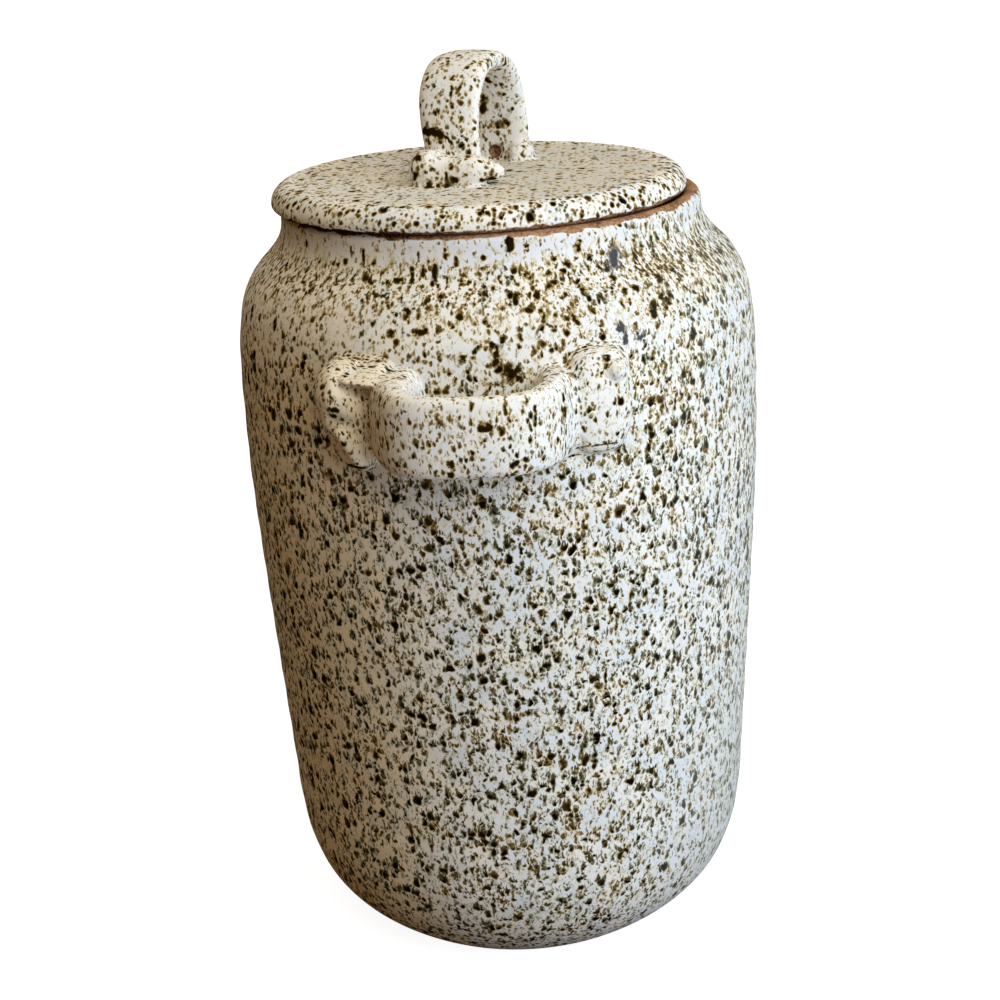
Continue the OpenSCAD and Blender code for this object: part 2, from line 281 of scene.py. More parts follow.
# Drips and blots of iron under the rim and on the shoulder, in front: path, width in mm and darkness
JAR_BLOTS = [
    ([(-40, 254.3), (-40, 251.3)], 0.8, 0.9), ([(-35.8, 253.5), (-35.8, 248.8)], 0.9, 1.0),
    ([(-17.8, 254), (-17.8, 251.3)], 0.7, 0.9), ([(-9.2, 254.8), (-9.2, 251.8)], 1.0, 1.0),
    ([(-6, 252), (-6, 250)], 1.2, 0.85), ([(-16.6, 249.8), (-16.4, 247.3)], 1.2, 1.0),
    ([(-14.6, 251.3), (-14.4, 248.8)], 0.9, 0.9), ([(-12.8, 249.8), (-12.7, 246)], 1.6, 0.95),
    ([(-19.9, 248.8), (-19.9, 245.6)], 1.3, 1.0), ([(-25, 245.6), (-23.3, 245.8)], 1.4, 1.05),
    ([(-42, 249.7)], 1.5, 1.0), ([(-44.7, 248.5)], 1.5, 0.9), ([(-27.8, 245.6), (-27.8, 243.8)], 1.2, 1.0),
    ([(-33.8, 245.5), (-33.8, 243.4)], 1.1, 0.9), ([(-26.2, 250.3)], 1.7, 0.6),
    ([(-23.5, 250.3), (-23.5, 246.5)], 0.9, 0.65), ([(-21.2, 237.8)], 1.9, 1.1),
    ([(-14.1, 238.3)], 1.8, 0.85), ([(-4.8, 236.1)], 2.0, 1.0), ([(3.1, 234.9)], 2.2, 0.9),
    ([(-26.3, 231.4)], 2.2, 1.0), ([(-18.5, 232), (-15.5, 232.5)], 2.0, 1.0), ([(2.5, 252)], 1.5, 1.0),
    ([(-0.3, 226.2), (1, 228.3), (3.2, 229), (4.9, 228.2)], 1.5, 0.8),
    ([(4.9, 228.2), (6, 226.8), (6.5, 224.5), (5.3, 222)], 2.0, 0.95), ([(-0.3, 226.4)], 1.6, 1.0),
    ([(4.6, 221.8)], 2.2, 1.05), ([(-4.3, 224.2)], 2.4, 1.0), ([(9.9, 220.3), (12.6, 219)], 3.0, 1.2),
    ([(11.5, 217.6)], 2.2, 1.2), ([(7.2, 216.2)], 1.8, 1.1), ([(-13.1, 215), (-12, 214.2)], 1.8, 1.1),
    ([(-8.3, 219.8), (-6.3, 218)], 1.6, 0.95), ([(2.2, 217.2), (3.6, 217)], 1.6, 1.0),
    ([(8.1, 230), (8.2, 229)], 1.5, 1.0), ([(18.7, 228.5), (20.4, 227)], 1.5, 0.9),
    ([(22.4, 226.6), (22.9, 225.4)], 1.6, 0.9), ([(10.6, 257), (10.6, 254.5)], 2.0, 1.2),
    ([(8.2, 255.2)], 1.1, 1.0), ([(16.1, 254.8), (16.1, 253.2)], 0.8, 1.0),
    ([(31.8, 254.5), (31.5, 251.5)], 1.2, 0.95), ([(40, 245.5)], 1.9, 1.0), ([(11.7, 247.6)], 1.9, 0.95),
    ([(15.5, 246.4), (17.2, 246)], 1.6, 1.0), ([(22.3, 246.3)], 1.8, 0.9),
    ([(22.3, 243), (24.3, 243.6)], 1.5, 1.0), ([(18.7, 241.1)], 2.0, 1.15),
    ([(12.3, 241), (12.4, 239.6)], 1.4, 1.15), ([(15.8, 237.2), (17.3, 237.2)], 1.4, 1.0),
    ([(20, 236.6), (21.2, 233.3)], 1.7, 0.9), ([(28, 235.8), (31, 232.2)], 1.4, 0.85),
    ([(18.3, 230), (19.5, 232.3), (21.1, 233), (23, 232), (23.8, 230)], 0.9, 0.7),
    ([(54, 234.4), (54.4, 230.8)], 1.6, 1.1), ([(56.6, 235.6), (58.2, 234)], 1.6, 1.0),
    ([(56.7, 240)], 1.8, 1.15), ([(53.8, 251.6), (54.8, 246)], 0.9, 0.9),
    ([(59.3, 253), (59.3, 249.5)], 0.8, 0.8), ([(52.3, 256), (52.4, 253.5)], 0.8, 0.8),
    ([(48.4, 252), (49.2, 248.5)], 1.3, 0.7),
    ([(37.6, 254.8), (37.7, 251.5)], 0.7, 0.7), ([(42, 254.6), (41.6, 251)], 0.7, 0.7),
    ([(45.3, 238.8)], 1.8, 1.0), ([(48.5, 239.2)], 1.4, 1.0), ([(32.3, 241), (34.7, 238.3)], 1.2, 0.95),
]
# Where cobalt in the iron turned the blots blue-grey
BLUE_BLOTS = [([(42, 249.3), (42.3, 246.5)], 2.5, 0.95), ([(43.7, 228.8)], 2.2, 0.95),
              ([(45.1, 226), (45.1, 224.4)], 1.6, 0.9), ([(50.1, 225.2)], 2.2, 0.85)]
# Shares of a stroke's width that a blot, a blue blot and its blue haze take
BLOT_SIZE, BLUE_SIZE, BLUE_REACH = 0.8, 0.6, 0.9
in_front = co[:, 1] < FRONT_Y
note_on_surface(jar.data, "stain_and_painted_shadow", np.maximum(painted(co, JAR_BLOTS, in_front, BLOT_SIZE),
                                              painted(co, BLUE_BLOTS, in_front, BLUE_SIZE)))
note_on_surface(jar.data, "blue", painted(co, BLUE_BLOTS, in_front, BLUE_REACH))


# ---- the lid ----

UNDER_GLAZE_R = 48 * MM              # the glaze under the lid ends inside its ring
LID_RING_DEPTH, LID_RING_TURN = 0.18 * MM, 0.5   # throwing rings on top, one every 13 mm

lid_profile = np.concatenate([
    [(r * MM, LID_Z) for r in (0, 20, 40, 50, 56, 62, 65, 67)],
    arc((LID_R - LID_EDGE_IN, LID_Z + LID_EDGE_LOW), LID_EDGE_IN, LID_EDGE_LOW, -90, 0, 9),
    arc((LID_R - LID_ROUND, LID_Z + LID_EDGE_LOW), LID_ROUND, LID_T - LID_EDGE_LOW, 8, 90, 18),
    [(r * MM, LID_TOP) for r in range(60, -4, -4)]])
lid = new_piece("lid_disc", turned(lid_profile, LID_MIDDLE), "lid", "glaze", "lid_plate")
co = places(lid.data)
radius, turn = round_axis(co, LID_MIDDLE)
on_top = smooth_step(LID_Z + 1 * MM, LID_TOP, co[:, 2])
rings = np.sin(radius / MM * LID_RING_TURN) * smooth_step(30 * MM, 45 * MM, radius)
co[:, 2] += on_top * LID_RING_DEPTH * rings
move_to(lid.data, co)
# The glaze was wiped off the edge's foot and off the underside, up to the ring.
bare_strip = (1.1 + 0.5 * smooth_step(0.1, 0.8, turn) - 0.3 * smooth_step(-0.2, -0.8, turn)) * MM
bare_below = np.where(radius > UNDER_GLAZE_R, 3, -3)
note_on_surface(lid.data, "bare", np.where(co[:, 2] < LID_Z + 0.05 * MM, bare_below,
                                           (LID_Z + bare_strip - co[:, 2]) / MM))
note_on_surface(lid.data, "thick", 0.2 + 0.08 * smooth_step(63 * MM, 55 * MM, radius))
note_on_surface(lid.data, "still", np.ones(len(co)))
# The level top has painted shade against the light from above, cool as a painted sky reflection, and fainter
# specks, most of all on one side.
note_on_surface(lid.data, "painted_shade_faint_specks", smooth_step(64 * MM, 57 * MM, radius)
                * (0.55 + 0.45 * smooth_step(-0.5, 0.8, turn)))


# ---- soft clay on a wall or a lid ----

SWELL = 0.12                         # mm that the skin stands over the solids
BACKING_GAP = 0.05 * MM              # the clay behind them lies this much under the surface they sit on
ROOTS_FROM = -0.4 * MM               # the clay is smeared smooth from here up, where a strap meets its ground
LOW_SKIN = 0.12 * MM                 # lower than this, the skin belongs to what is under it
SINK = 0.5 * MM                      # and dives by this and more
TRIM_DEPTH = -2.2 * MM               # what is deeper than this is cut off
FORWARD = 0.25                       # the skin faces forwards where its normal's y is under this


def one_skin(solids, backing, grain):
    """Joins copies of solids and the clay behind them into one skin with even facets."""
    bm = bmesh.new()
    for solid in solids:
        bm.from_mesh(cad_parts[solid].data)
    bmesh.ops.remove_doubles(bm, verts=bm.verts, dist=0.005 * MM)
    for face in bm.faces:
        face.normal_update()
    for vert in bm.verts:
        vert.normal_update()
    for vert in bm.verts:
        vert.co += vert.normal * SWELL * MM
    extra = bpy.data.meshes.new("backing")
    backing.to_mesh(extra)
    backing.free()
    bm.from_mesh(extra)
    rough = bpy.data.meshes.new("rough")
    bm.to_mesh(rough)
    bm.free()
    rough_piece = bpy.data.objects.new("rough", rough)
    bpy.context.scene.collection.objects.link(rough_piece)
    remesh = rough_piece.modifiers.new("even", "REMESH")
    remesh.mode = "VOXEL"
    remesh.voxel_size = grain
    remesh.adaptivity = 0
    evaluated = rough_piece.evaluated_get(bpy.context.evaluated_depsgraph_get())
    even = bpy.data.meshes.new_from_object(evaluated)
    bm = bmesh.new()
    bm.from_mesh(even)
    bm.normal_update()
    bpy.data.objects.remove(rough_piece)
    for mesh in (extra, rough, even):
        bpy.data.meshes.remove(mesh)
    return bm


def soften(bm, verts, times):
    for _ in range(times):
        bmesh.ops.smooth_vert(bm, verts=verts, factor=0.5, use_axis_x=True, use_axis_y=True, use_axis_z=True)


def sunk(lift):
    """How far the skin away from a piece dives under the surface that the piece sits on."""
    return np.where(lift < LOW_SKIN, LOW_SKIN - lift + SINK, 0) * smooth_step(LOW_SKIN, 0.0, lift)


def trim(bm, lift):
    """Cuts off the hidden back of the skin."""
    deep = [v for v, l in zip(bm.verts, lift) if l < TRIM_DEPTH]
    bmesh.ops.delete(bm, geom=deep, context="VERTS")


# ---- strap handles ----

HANDLE_GRAIN = 0.6 * MM
BACKING_LOW, BACKING_HIGH, BACKING_T = 176 * MM, 234 * MM, 4 * MM
BACKING_HALF_TURN = math.radians(40)


def wall_backing(side):
    """A patch of the thrown wall, a little thick, behind one handle. side is 0 in front and pi behind."""
    bm = bmesh.new()
    bmesh.ops.create_grid(bm, x_segments=60, y_segments=60, size=1)
    for vert in bm.verts:
        turn = side + vert.co.x * BACKING_HALF_TURN
        z = (BACKING_LOW + BACKING_HIGH) / 2 + vert.co.y * (BACKING_HIGH - BACKING_LOW) / 2
        r = wall_r(z) + thrown_offset(turn, z) - BACKING_GAP
        vert.co = Vector((r * math.sin(turn), -r * math.cos(turn), z))
    bmesh.ops.recalc_face_normals(bm, faces=bm.faces)
    skin = bmesh.ops.extrude_face_region(bm, geom=bm.faces[:])
    for vert in [g for g in skin["geom"] if isinstance(g, bmesh.types.BMVert)]:
        out = Vector((vert.co.x, vert.co.y, 0)).normalized()
        vert.co -= out * BACKING_T
    bmesh.ops.recalc_face_normals(bm, faces=bm.faces)
    return bm


def lift_of(co):
    """Height of points over the thrown wall, measured outwards."""
    radius, turn = round_axis(co)
    return radius - wall_r(co[:, 2]) - thrown_offset(turn, co[:, 2])


def press(bm, strokes):
    """Moves the skin that faces forwards out (+) or in (-) along paths, as a thumb does."""
    for path, width, push in strokes:
        weight = near_path(bm_places(bm), path, width)
        for vert, w in zip(bm.verts, weight):
            if w > 0.02 and vert.normal.y < FORWARD:
                vert.co += vert.normal * (push * MM * w)
        bm.normal_update()


def fill(bm, path, width, lift):
    """Raises the skin near a path to a height over the wall, which bridges a valley."""
    co = bm_places(bm)
    short = lift * MM * near_path(co, path, width) - lift_of(co)
    radius, _ = round_axis(co)
    for vert, up, r in zip(bm.verts, short, radius):
        if up > 0 and vert.normal.y < FORWARD and vert.co.y < 0:
            vert.co.x *= 1 + up / r
            vert.co.y *= 1 + up / r
    bm.normal_update()


def blend(bm, path, width, times):
    """Smooths the skin within a width of a path."""
    near = near_path(bm_places(bm), path, width)
    soften(bm, [v for v, w in zip(bm.verts, near) if w > AT_WIDTH and v.co.y < 0], times)
    bm.normal_update()


def handle(name, side, fold=None):
    """A strap and its two tabs as one skin of soft clay on the wall."""
    nodes = [f"{name}_strap", f"{name}_left_tab", f"{name}_right_tab"]
    bm = one_skin(nodes, wall_backing(side), HANDLE_GRAIN)
    soften(bm, bm.verts, 3)
    lift = lift_of(bm_places(bm))
    soften(bm, [v for v, l in zip(bm.verts, lift) if ROOTS_FROM < l < 4 * MM], 12)
    bm.normal_update()
    if fold:
        fold(bm)
    co = bm_places(bm)
    lift = lift_of(co)
    radius, _ = round_axis(co)
    co[:, :2] -= co[:, :2] / radius[:, None] * sunk(lift)[:, None]
    set_bm_places(bm, co)
    trim(bm, lift)
    return new_piece(name, bm, "jar", "glaze", *nodes)


# Where the fingers folded and pressed the strap's ends: path, width and push in mm
FRONT_FOLDS = [
    ([(-45, 218), (-46, 213)], 3.0, 1.2),
    ([(-43, 203), (-40, 197), (-37.8, 192.5)], 2.2, 1.9),                       # ridge down the tab
    ([(-45, 206), (-40.5, 205)], 2.4, -1.4),
    ([(-41.8, 216.8)], 1.5, -1.2),                                              # thumb dimple
    ([(-40, 215.8), (-37.5, 214.6), (-34.5, 214.8)], 1.0, -0.9),                # crease under the lip
    ([(-34.4, 213.5), (-34.6, 203), (-35.3, 196), (-34.5, 192)], 0.8, -0.9),    # crease beside the strap
    ([(42.9, 218.7)], 2.4, 0.7),                                                # clay knob on the right
]


def fold_front(bm):
    # No groove beside the right tab, and a lip from the left tab over to the root
    blend(bm, [(29.6, 219), (29.6, 193)], 2.6, 30)
    fill(bm, [(-40.5, 218.6), (-36, 218.6), (-30.5, 218.6)], 2.9, 11.5)
    blend(bm, [(-41, 219), (-30, 219)], 3.0, 8)
    press(bm, FRONT_FOLDS)
    blend(bm, [(-40, 205)], 14, 2)


# Iron blots, drips of iron-rich glaze and bare edges on the front handle, and a painted shadow under the
# right tab: path, width in mm and darkness
FRONT_BLOTS_AND_SHADOW = [
    ([(9.9, 218), (10, 213.8)], 0.9, 0.8), ([(15.7, 216.5)], 2.2, 0.8), ([(15, 216), (14.8, 213)], 0.7, 0.7),
    ([(18.4, 214.5), (18.5, 210.5)], 0.7, 0.95), ([(23.3, 214), (23.3, 212.5)], 0.7, 0.7),
    ([(26.5, 210.5), (26.6, 207.5)], 0.8, 0.9), ([(-5.5, 218.5), (-5.3, 217)], 0.9, 0.7),
    ([(-10.6, 215.5), (-9, 210.5)], 1.7, 0.72), ([(-3.6, 215), (-3.6, 212.5)], 0.5, 0.9),
    ([(2.9, 209.6), (4.8, 209.9)], 1.9, 1.1), ([(-7, 199)], 1.7, 1.1), ([(-7.3, 195.5)], 1.5, 1.1),
    ([(11, 197.5), (12.6, 198.5)], 1.1, 1.1), ([(15, 199)], 1.3, 1.0), ([(-4, 207.5)], 1.2, 0.8),
    ([(-15, 204.3)], 1.0, 1.0), ([(-24.5, 206)], 1.0, 1.0), ([(-45.8, 210.4), (-43.4, 210)], 1.3, 0.95),
    ([(-42.5, 190.6), (-39.5, 191), (-36.5, 190.4)], 1.1, 1.1), ([(39.2, 222.5), (39.8, 221)], 1.5, 0.95),
    ([(39.6, 220.5), (37.8, 218)], 0.8, 0.9), ([(27.8, 220.5), (29.6, 217)], 1.0, 0.75),
    ([(34.5, 199.5)], 1.7, 0.6), ([(39.5, 198.6)], 1.7, 0.6), ([(42.5, 192.5)], 1.1, 1.0),
    # Painted shadow: a thin dark line along the right tab's lower edge
    ([(31, 195), (36, 195.5), (42, 195)], 0.5, 0.8),
]
# Smooth glaze with few specks: the strap's upper edge, the left tab's lobes and the clay knob on the right.
# Their whiter glaze is partly a painted highlight where they face the light.
FRONT_CLEAR_AND_HIGHLIGHTS = [
    ([(-22, 217), (0, 217.5), (24, 215.5)], 3.2, 1.0), ([(-44, 216)], 4, 1.0), ([(-39.5, 197)], 4, 1.0),
    ([(-35, 219)], 4, 0.9), ([(42.9, 218.7)], 3, 1.2),
]
STRAP_THICK = 0.42                   # a strap holds this much more glaze than the wall
RISE_REACH = 8                       # mm over the wall in which the flow round a handle dies out

front_handle = handle("front_handle", 0.0, fold_front)
rear_handle = handle("rear_handle", math.pi)
for piece, clear, blots_and_shadow in ((front_handle, FRONT_CLEAR_AND_HIGHLIGHTS, FRONT_BLOTS_AND_SHADOW), (rear_handle, [], [])):
    co = places(piece.data)
    lift = lift_of(co)
    note_on_surface(piece.data, "bare", np.full(len(co), -6.0))
    # The glaze flowed round the handle, so the specks follow its edges.
    note_on_surface(piece.data, "rise", RISE_REACH * (1 - np.exp(-np.maximum(lift, 0) / MM / RISE_REACH)))
    # The clear patches, partly painted highlights, add to the strap's thicker glaze
    note_on_surface(piece.data, "thick", np.maximum(STRAP_THICK * smooth_step(0.2 * MM, 3 * MM, lift),
                                                    painted(co, clear)))
    note_on_surface(piece.data, "stain_and_painted_shadow", painted(co, blots_and_shadow))
    note_on_surface(piece.data, "still", np.full(len(co), 0.6))
    # Painted warm shade on the handle's left part, as on the jar's side away from the windows
    note_on_surface(piece.data, "painted_warm_shade", 0.65 * smooth_step(-20 * MM, -36 * MM, co[:, 0]))


# ---- knob ----

KNOB_GRAIN = 0.5 * MM
BACKING_R, BACKING_DEPTH, BACKING_SHIFT = 40 * MM, 4 * MM, 5 * MM


def lid_backing():
    """The lid's clay under the knob, which stands a little behind the lid's middle."""
    bm = bmesh.new()
    place = Matrix.Translation((LID_MIDDLE.x, LID_MIDDLE.y + BACKING_SHIFT,
                                LID_TOP - BACKING_DEPTH / 2 - BACKING_GAP))
    bmesh.ops.create_cone(bm, cap_ends=True, segments=64, radius1=BACKING_R, radius2=BACKING_R,
                          depth=BACKING_DEPTH, matrix=place)
    return bm


knob_nodes = ["knob_strap", "knob_front_roll", "knob_rear_roll"]
bm = one_skin(knob_nodes, lid_backing(), KNOB_GRAIN)
soften(bm, bm.verts, 3)
soften(bm, [v for v in bm.verts if ROOTS_FROM < v.co.z - LID_TOP < 3 * MM], 10)
# The rear leg's foot is smeared out on one side.
soften(bm, [v for v in bm.verts if v.co.y > 14 * MM and v.co.x > 5.5 * MM and v.co.z < LID_TOP + 9 * MM], 20)
co = bm_places(bm)
lift = co[:, 2] - LID_TOP
co[:, 2] -= sunk(lift)
set_bm_places(bm, co)
trim(bm, lift)
knob = new_piece("knob_loop", bm, "lid", "glaze", *knob_nodes)

# Iron blots on the knob's front and on the inside of its rear leg: path, width in mm and darkness
KNOB_FRONT_BLOTS = [
    ([(-18.5, 283.4), (-14, 282.5)], 2.1, 1.15), ([(-12, 281.5), (-10, 279.5)], 0.9, 0.9),
    ([(-9.7, 297), (-9.9, 293.8), (-9.6, 291)], 0.7, 0.95), ([(-5.8, 298.5), (-8, 295.2)], 0.8, 0.75),
    ([(-20.6, 276.5)], 1.5, 1.0), ([(-15.7, 272.8)], 1.3, 1.0), ([(-19.6, 274)], 1.0, 0.9),
    ([(-22.2, 271), (-22.2, 269.5)], 0.9, 1.0), ([(-17.3, 267.9)], 1.7, 1.1), ([(-14.6, 267.7)], 1.2, 0.9),
    ([(-8.9, 269.3)], 1.9, 1.05), ([(-11.4, 272), (-11.3, 269.8)], 0.6, 0.95), ([(2, 273.3)], 1.0, 0.8),
    ([(0, 269.3), (4, 269.2)], 1.1, 0.95),
]
KNOB_REAR_BLOTS = [
    ([(-2.2, 288.5), (-3, 284)], 2.0, 1.0), ([(0.5, 294.5)], 1.1, 0.95),
    ([(4.8, 280.3), (5.8, 279.2)], 1.3, 1.0), ([(5, 290)], 1.0, 0.95), ([(7.7, 284.7)], 0.9, 0.95),
]
KNOB_FRONT_CLEAR = [([(-2.6, 267), (-2.6, 277)], 1.8, 1.1), ([(-2.5, 280), (-2, 293)], 2.2, 0.9)]
KNOB_REAR_CLEAR = [([(9, 268), (8, 292)], 3, 0.9)]
FINGER_HOLE = [([(0.8, 269.9)], 3.4, 1.0)]
co = places(knob.data)
is_front, is_rear = co[:, 1] < 0, co[:, 1] > 8 * MM
note_on_surface(knob.data, "stain_and_painted_shadow", np.maximum(painted(co, KNOB_FRONT_BLOTS, is_front),
                                               painted(co, KNOB_REAR_BLOTS, is_rear)))
clear = np.maximum(painted(co, KNOB_FRONT_CLEAR, is_front), painted(co, KNOB_REAR_CLEAR, is_rear))
thick = STRAP_THICK * smooth_step(LID_TOP, LID_TOP + 2 * MM, co[:, 2])
note_on_surface(knob.data, "thick", np.maximum(thick, clear))
note_on_surface(knob.data, "still", np.full(len(co), 0.8))
# The hole at the inner foot of the rear leg bared the orange clay.
note_on_surface(knob.data, "bare", -6 + 9 * painted(co, FINGER_HOLE, is_rear))


# ---- finishes ----

def linear(code):
    """A hex colour as Blender's linear colour."""
    values = [int(code[i:i + 2], 16) / 255 for i in (1, 3, 5)]
    return (*[v / 12.92 if v <= 0.04045 else ((v + 0.055) / 1.055) ** 2.4 for v in values], 1)


def add(tree, kind, inputs=None, **settings):
    """Adds a node with its settings and inputs. A node as an input is linked from its first output in use,
    a socket is linked, and anything else is the input's value.

    Inputs by number: Math and Vector Math take their operands from 0 up. Map Range takes the value at 0, the
    range it is read in at 1 and 2, and the range it becomes at 3 and 4. Mix takes the share at 0 and the two
    colours at 6 and 7."""
    made = tree.nodes.new(kind)
    for key, value in settings.items():
        setattr(made, key, value)
    for key, value in (inputs or {}).items():
        if isinstance(value, bpy.types.Node):
            value = next(out for out in value.outputs if out.enabled)
        if isinstance(value, bpy.types.NodeSocket):
            tree.links.new(value, made.inputs[key])
        else:
            made.inputs[key].default_value = value
    return made


def new_finish(name):
    finish = bpy.data.materials.new(name)
    finish.use_nodes = True
    finish.node_tree.nodes.clear()
    return finish, finish.node_tree


WHITE_GLAZE, GREY_GLAZE, CREAM_GLAZE = "#f3f2f0", "#dfe9f5", "#f2e9d8"
THICK_GLAZE, MILKY_GLAZE, PAINTED_SHEEN_GLAZE = "#e2e4ec", "#f4f1ea", "#b9c1bd"
PAINTED_TOP_SHADE_GLAZE, PAINTED_WARM_SHADE_GLAZE, BLUE_SPECKS = "#bbb9b2", "#eedbb9", "#464c55"
TOASTED_DARK_AND_PAINTED_SHADE, TOASTED_LIGHT = "#35190d", "#bf9470"

# From clear glaze to the middle of a speck: share of darkness, and colour in grey-olive and in golden glaze
SPECK_TONES = [
    (0.14, "#d8d9ce", "#dfd7be"), (0.30, "#a8a592", "#b19d74"), (0.48, "#6a6348", "#7a6436"),
    (0.68, "#362c17", "#453516"), (0.9, "#0a0702", "#130c03"),
]

# Iron specks in the clay that melt through the glaze: spacing in mm, smallest and largest radius as shares
# of it, how rare the large ones are, softness of the edge as a share too, darkness, and how far they bleed
SPECKS = [
    (3.3, -0.05, 0.48, 2.1, 0.34, 1.06, 0.22),
    (2.1, -0.03, 0.47, 1.1, 0.42, 1.0, 0.26),
    (1.5, -0.05, 0.48, 1.1, 0.54, 0.8, 0.24),
]

# Patterns in the glaze and the clay, in features per mm
SPECK_BENDS = {"Scale": 0.42, "Detail": 1.0, "Roughness": 0.4}  # bends in the specks' outlines, 2.4 mm apart
CROWDS = {"Scale": 0.08, "Detail": 2.0}                         # 12 mm patches with more or fewer specks
FAINT_MARKS = {"Scale": 0.6, "Detail": 1.0, "Roughness": 0.5}   # pale marks of 1.7 mm between the specks
BLOT_EDGES = {"Scale": 0.55, "Detail": 2.0}                     # uneven edges of the blots, every 1.8 mm
CLOUDS = {"Scale": 0.06, "Detail": 3.0}                         # cool clouds, 17 mm
SMALL_CLOUDS = {"Scale": 0.45, "Detail": 2.0}                   # creamy clouds, 2.2 mm
GOLD_PATCHES = {"Scale": 0.16, "Detail": 2.0}                   # golden patches, 6 mm
RAGGED_EDGE = {"Scale": 0.16, "Detail": 2.0, "Roughness": 0.5}  # the glaze's edge wanders every 6 mm
SOFT_RELIEF = {"Scale": 0.3, "Detail": 3.0}                     # orange peel of 3 mm
GRIT = {"Scale": 1.0, "Detail": 3.0, "Roughness": 0.8}          # grog, as coarse as 1 mm so that it shows
FLUSH = {"Scale": 0.09, "Detail": 2.0}                          # 11 mm flushes from the flame
# How patterns are squeezed (over 1) or drawn out (under 1) across, along and upwards
SPECK_SQUEEZE = (0.94, 0.94, 0.88)
PRONG_SQUEEZE = (1.5, 1.5, 0.35)
DRIP_SQUEEZE = (0.62, 0.62, 0.085)

NOTES = ("bare", "blue", "painted_warm_shade", "painted_shade_faint_specks", "rise", "stain_and_painted_shadow", "still", "thick", "painted_sheen")


def place_in_mm(tree):
    place = add(tree, "ShaderNodeTexCoord")
    return add(tree, "ShaderNodeMapping", {0: place.outputs["Object"], "Scale": (1000, 1000, 1000)})


def grainy_clay(tree, in_mm):
    grit = add(tree, "ShaderNodeTexNoise", {"Vector": in_mm, **GRIT})
    flush = add(tree, "ShaderNodeTexNoise", {"Vector": in_mm, **FLUSH})
    both = add(tree, "ShaderNodeMath", {0: grit, 1: 2.4, 2: flush}, operation="MULTIPLY_ADD")
    # Painted shade: the clay darkens towards the side away from the windows, and on the lid, whose bare edge
    # stands for the shade in the gap over the rim.
    axes = add(tree, "ShaderNodeSeparateXYZ", {0: in_mm})
    painted_gap_shade = add(tree, "ShaderNodeMapRange", {0: axes.outputs["Z"], 1: 259.0, 2: 259.3, 3: 0.0, 4: -0.3})
    across = add(tree, "ShaderNodeMapRange", {0: axes.outputs["X"], 1: -50.0, 2: 0.0, 3: -0.5, 4: 0.08})
    both = add(tree, "ShaderNodeMath", {0: both, 1: across}, operation="ADD")
    both = add(tree, "ShaderNodeMath", {0: both, 1: painted_gap_shade}, operation="ADD")
    share = add(tree, "ShaderNodeMapRange", {0: both, 1: 1.15, 2: 2.1})
    return add(tree, "ShaderNodeMix", {0: share, 6: linear(TOASTED_DARK_AND_PAINTED_SHADE), 7: linear(TOASTED_LIGHT)},
               data_type="RGBA")


def flowed_place(tree, in_mm, rise):
    """Beside a handle the glaze ran along its edges, which draws the specks out along lines of equal rise."""
    outward = add(tree, "ShaderNodeVectorMath", {0: in_mm, 1: (1, 1, 0)}, operation="MULTIPLY")
    outward = add(tree, "ShaderNodeVectorMath", {0: outward}, operation="NORMALIZE")
    shift = add(tree, "ShaderNodeMath", {0: rise, 1: 3.0}, operation="MULTIPLY")
    outward = add(tree, "ShaderNodeVectorMath", {0: outward, "Scale": shift.outputs[0]}, operation="SCALE")
    return add(tree, "ShaderNodeVectorMath", {0: in_mm, 1: outward}, operation="ADD")


def bent_place(tree, drawn, still):
    """Bends the specks' outlines, less where the glaze hardly ran."""
    bends = add(tree, "ShaderNodeTexNoise", {"Vector": drawn, **SPECK_BENDS})
    centred = add(tree, "ShaderNodeVectorMath", {0: bends.outputs["Color"], 1: (0.5, 0.5, 0.5)},
                  operation="SUBTRACT")
    push = add(tree, "ShaderNodeMapRange", {0: still, 3: 2.7, 4: 1.5})
    centred = add(tree, "ShaderNodeVectorMath", {0: centred, "Scale": push.outputs[0]}, operation="SCALE")
    return add(tree, "ShaderNodeVectorMath", {0: centred, 1: drawn}, operation="ADD")


def dragged_place(tree, in_mm, bent, still):
    """Each speck is dragged up in uneven prongs, because the glaze flowed down over it."""
    streaks = add(tree, "ShaderNodeMapping", {0: in_mm, "Scale": PRONG_SQUEEZE})
    prongs = add(tree, "ShaderNodeTexNoise", {"Vector": streaks, "Scale": 1.0, "Detail": 1.0})
    drag = add(tree, "ShaderNodeMapRange", {0: prongs, 1: 0.40, 2: 0.66, 3: 0.0, 4: 1.3})
    run = add(tree, "ShaderNodeMapRange", {0: still, 3: 1.0, 4: 0.3})
    drag = add(tree, "ShaderNodeMath", {0: drag, 1: run}, operation="MULTIPLY")
    drag_up = add(tree, "ShaderNodeCombineXYZ", {"Z": drag})
    return add(tree, "ShaderNodeVectorMath", {0: bent, 1: drag_up}, operation="SUBTRACT")


